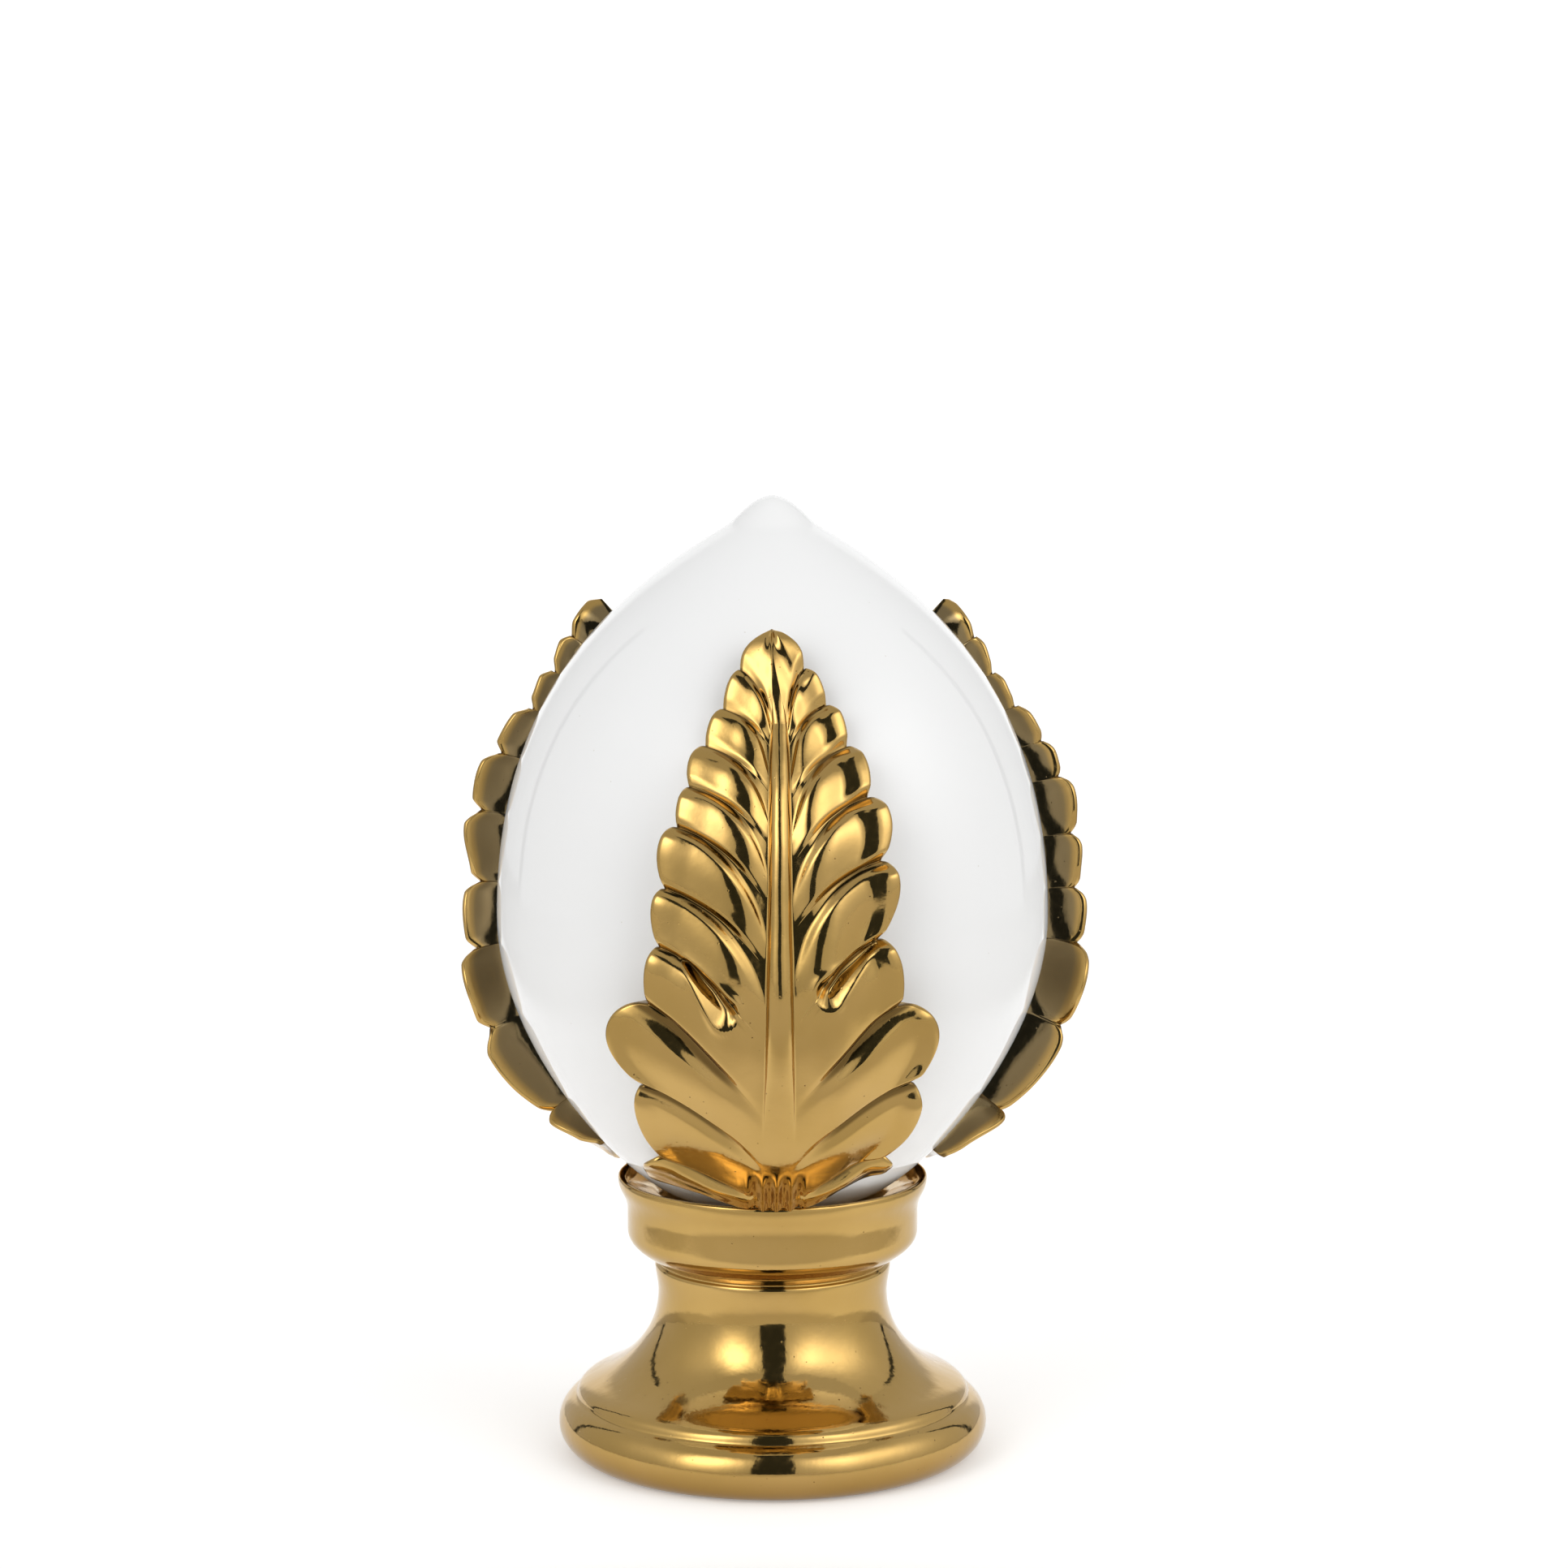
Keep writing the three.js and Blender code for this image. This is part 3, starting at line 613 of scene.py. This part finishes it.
class Shader:
    """A node material with one method that makes every node."""

    def __init__(self, name):
        self.material = bpy.data.materials.new(name)
        self.material.use_nodes = True
        self.tree = self.material.node_tree
        self.tree.nodes.clear()
        self.place = self.node("ShaderNodeTexCoord", output="Object")

    def node(self, kind, settings=(), inputs=(), output=0):
        """A node with its settings, then the values or links of its sockets."""
        new = self.tree.nodes.new(kind)
        for key, value in dict(settings).items():
            setattr(new, key, value)
        for key, value in dict(inputs).items():
            if isinstance(value, Value):
                self.tree.links.new(value.socket, new.inputs[key])
            else:
                new.inputs[key].default_value = value
        return Value(self, new.outputs[output]) if new.outputs else None

    def noise(self, scale, detail=3):
        """Soft noise from 0 to 1, with this many cells to the metre."""
        return self.node("ShaderNodeTexNoise", inputs={
            "Vector": self.place, "Scale": scale, "Detail": detail, "Roughness": 0.5})

    def specks(self, scale, size):
        """1 inside small round specks strewn about, falling to 0 at their edges."""
        inputs = {"Vector": self.place, "Scale": scale}
        distance = self.node("ShaderNodeTexVoronoi", inputs=inputs, output="Distance")
        return self.ramp(distance, size, 0.4 * size)

    def parts(self):
        """The three parts of the place on the piece."""
        return [self.node("ShaderNodeSeparateXYZ", inputs={"Vector": self.place}, output=axis)
                for axis in range(3)]

    def ramp(self, value, low, high, first=0.0, last=1.0, shape="SMOOTHSTEP"):
        """From first to last as the value goes from low to high, and held there."""
        return self.node("ShaderNodeMapRange", {"interpolation_type": shape}, {
            "Value": value, "From Min": low, "From Max": high, "To Min": first, "To Max": last})

    def blend(self, share, *colours):
        """From the first colour to the second by a share; plain ones are (red, green, blue)."""
        first, second = (c if isinstance(c, Value) else (*c, 1) for c in colours)
        inputs = {0: share, 6: first, 7: second}
        return self.node("ShaderNodeMix", {"data_type": "RGBA"}, inputs, 2)

    def bump(self, height, distance, **normal):
        """A surface direction tilted by a height of this many metres, on top of another one."""
        inputs = {"Height": height, "Distance": distance, "Strength": 1.0, **normal}
        return self.node("ShaderNodeBump", inputs=inputs, output="Normal")

    def finish(self, **inputs):
        """The material, with these inputs of its Principled surface."""
        inputs = {key.replace("_", " "): value for key, value in inputs.items()}
        surface = self.node("ShaderNodeBsdfPrincipled", inputs=inputs)
        self.node("ShaderNodeOutputMaterial", inputs={"Surface": surface})
        return self.material


def gold(name, softness, painted_shade_below=None, carved=False):
    """Mirror gold lustre fired over glaze: wavy, lightly clouded, with pinholes and rubbed spots,
    and darkened by painted shade towards the table up to a height. On a carved piece, painted
    shade darkens the grooves (mark above 0) and the side walls (mark below 0)."""
    shader = Shader(name)
    cloud = shader.noise(45, 4)
    fine = shader.noise(900)
    pits = shader.specks(420, 0.09)
    rubbed = pits * shader.ramp(cloud, 0.5, 0.6)
    colour = shader.blend(shader.ramp(cloud, 0.35, 0.7), GOLD_DEEP, GOLD_PALE)
    colour = shader.blend(rubbed, colour, GOLD_RUBBED)
    if carved:
        painted_shade_mark = shader.node("ShaderNodeAttribute", {"attribute_name": "painted_shade_mark"}, output="Fac")
        # Painted shade darkens the grooves
        colour = shader.blend(shader.ramp(painted_shade_mark, 0.35, 1, 0, 0.8), colour, GOLD_SHADED_IN_GROOVES)
        # Painted shade darkens the side walls
        colour = shader.blend(shader.ramp(painted_shade_mark, -0.1, -1, 0, 0.75), colour, GOLD_SHADED_ON_WALLS)
    if painted_shade_below:
        # Painted shade: the gold is darker towards the table, up to a height
        low = shader.ramp(shader.parts()[2], painted_shade_below, 0, 0, 0.6)
        colour = shader.blend(low, colour, GOLD_SHADED_NEAR_TABLE)
    roughness = softness + 0.06 * shader.ramp(fine, 0.35, 0.75) + 0.2 * rubbed
    waves = shader.noise(28, 2) + 0.3 * shader.noise(110, 2) + 0.08 * shader.noise(330, 2)
    wavy = shader.bump(waves, 0.00035)
    pitted = shader.bump(fine - 2 * pits, 0.00001, Normal=wavy)
    return shader.finish(Base_Color=colour, Metallic=1.0, Roughness=roughness, Normal=pitted)


def glaze():
    """White glaze: even and glossy, a trace warmer where it is thin, with a few faint specks."""
    shader = Shader("white_glaze")
    colour = shader.blend(shader.noise(20), GLAZE_COOL, GLAZE_WARM)
    colour = shader.blend(0.5 * shader.specks(160, 0.035), colour, GLAZE_SPECK)
    roughness = 0.025 + 0.03 * shader.ramp(shader.noise(300, 2), 0.3, 0.8)
    wavy = shader.bump(shader.noise(22, 2), 0.0003)
    return shader.finish(Base_Color=colour, Roughness=roughness, IOR=1.5, Normal=wavy)


def pale_floor():
    """A matt table with a faint mottle, greyer in front. Behind the object it is greyer still to
    the sides (painted shade), and in a wedge that opens from a corner in front of the object it
    is painted white and glows faintly (painted light)."""
    shader = Shader("pale_floor")
    across, along_y, _ = shader.parts()
    beside = abs(across) / (along_y + WEDGE_CORNER)
    # Painted light: inside the wedge the floor is painted white and given a faint glow
    wedge = (1 - shader.ramp(beside, 0.19, 0.25)) * shader.ramp(along_y, -0.13, -0.06)
    grey = shader.blend(shader.noise(9), *FLOOR_FRONT)
    # Painted shade: behind the object the floor is greyer outside the wedge
    grey = shader.blend(shader.ramp(along_y, 0.0, 0.1), grey, FLOOR_SHADED_BEHIND)
    return shader.finish(
        Base_Color=shader.blend(wedge, grey, FLOOR_LIT), Roughness=0.9, Specular_IOR_Level=0.1,
        Emission_Color=0.26 * wedge, Emission_Strength=1.0)


def glow(name, shade):
    """A surface that only gives light, as much as shade says for a shader."""
    shader = Shader(name)
    light = shader.ramp(shade(shader), 0, STRONGEST_GLOW, shape="LINEAR")
    return shader.finish(Base_Color=(0, 0, 0, 1), Roughness=1.0, Specular_IOR_Level=0.0,
                         Emission_Color=light, Emission_Strength=STRONGEST_GLOW)


def side_shade(even, lamp, wide_lamp):
    """Soft light on a side screen: even, plus a lamp and a wide lamp beyond it, which fall off as
    exp(-(sharpness times distance)^2) round the screen and up it. The values are strengths."""
    def shade(shader):
        across, along_y, up = shader.parts()
        heading = abs(across).math("ARCTAN2", -along_y)
        above = (up - LAMP_LEVEL) * LAMP_LEVEL_SHARPNESS
        light = even
        for strength, shape in ((lamp, LAMP), (wide_lamp, WIDE_LAMP)):
            beside = (heading - shape["heading"]) * shape["sharpness"]
            light = light + strength * (-(beside * beside) - above * above).math("EXPONENT")
        return light
    return shade


def back_shade(shader):
    """Grey screens behind, lit white in the middle."""
    return 0.65 + 0.5 * shader.ramp(abs(shader.parts()[0]), 0.6, 0.45)


def curtain(name, side, radius, degrees, levels, material, steps=24):
    """A standing screen bent round the object: radius times (sin, -cos) of the heading."""
    heading, z = np.meshgrid(side * np.radians(np.linspace(*degrees, steps + 1)), levels)
    points = np.stack([radius * np.sin(heading), -radius * np.cos(heading), z], -1)
    faces = np.arange(steps)[:, None] + [0, 1, steps + 2, steps + 1]
    return made(name, points.reshape(-1, 3).tolist(), faces.tolist(), material)


# The pieces
pedestal = skin("turned_pedestal",
                turned(evened(pedestal_profile(), PEDESTAL_STEP, PEDESTAL_SOFTENING)),
                gold("pedestal_gold", 0.06, painted_shade_below=0.011))
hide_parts("pedestal")

bud_profile = np.vstack([[[0, BUD_FOOT]], bud_outline(110)])
bud = skin("glazed_bud", turned(evened(bud_profile, BUD_STEP, BUD_SOFTENING)), glaze())
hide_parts("bud")

leaf_gold = gold("leaf_gold", 0.08, carved=True)
leaf_points, leaf_shade_marks = leaf_surface()
leaves = []
for number, node in enumerate(LEAF_NODES):
    leaf = skin("carved_" + node, about_z(leaf_points, number * 120), leaf_gold, leaf_shade_marks)
    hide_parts(node)
    leaves.append(leaf)
for piece in (pedestal, bud, *leaves):
    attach(piece, "root")

# The stage: a pale table, screens at both sides and behind, and a soft light above
stage = [made("floor", [
    (-FLOOR_HALF_WIDTH, FLOOR_FRONT_EDGE, 0), (FLOOR_HALF_WIDTH, FLOOR_FRONT_EDGE, 0),
    (FLOOR_HALF_WIDTH, FLOOR_HALF_WIDTH, 0), (-FLOOR_HALF_WIDTH, FLOOR_HALF_WIDTH, 0),
], [range(4)], pale_floor())]
for side, lights in ((-1, LEFT_LIGHT), (1, RIGHT_LIGHT)):
    side_light = glow("side_light", side_shade(**lights))
    back_light = glow("back_light", back_shade)
    stage.append(curtain("side_screen", side, **SIDE_SCREEN, material=side_light))
    stage.append(curtain("back_screen", side, **BACK_SCREEN, material=back_light))
notch_half_width, notch_back = TOP_NOTCH
top_corners = [
    (-TOP_HALF_WIDTH, TOP_FRONT), (-notch_half_width, TOP_FRONT), (-notch_half_width, notch_back),
    (notch_half_width, notch_back), (notch_half_width, TOP_FRONT), (TOP_HALF_WIDTH, TOP_FRONT),
    (TOP_HALF_WIDTH, TOP_HALF_WIDTH), (-TOP_HALF_WIDTH, TOP_HALF_WIDTH)]
stage.append(made("top_light", [(x, y, TOP_LEVEL) for x, y in top_corners],
                  [range(len(top_corners))], glow("overhead_light", lambda shader: TOP_STRENGTH)))

world = bpy.data.worlds.new("dim_room")
bpy.context.scene.world = world
world.use_nodes = True
world.node_tree.nodes["Background"].inputs["Color"].default_value = ROOM

# The camera: a long lens on the front leaf, a little above and looking slightly down
camera_data = bpy.data.cameras.new("camera")
camera_data.lens = CAMERA_LENS
camera_data.sensor_width = CAMERA_SENSOR
camera = bpy.data.objects.new("camera", camera_data)
camera.location = CAMERA_PLACE
camera.rotation_euler = (np.radians(90 - CAMERA_DOWN), 0, 0)
bpy.context.scene.collection.objects.link(camera)
bpy.context.scene.camera = camera
bpy.context.scene.view_settings.view_transform = "Standard"
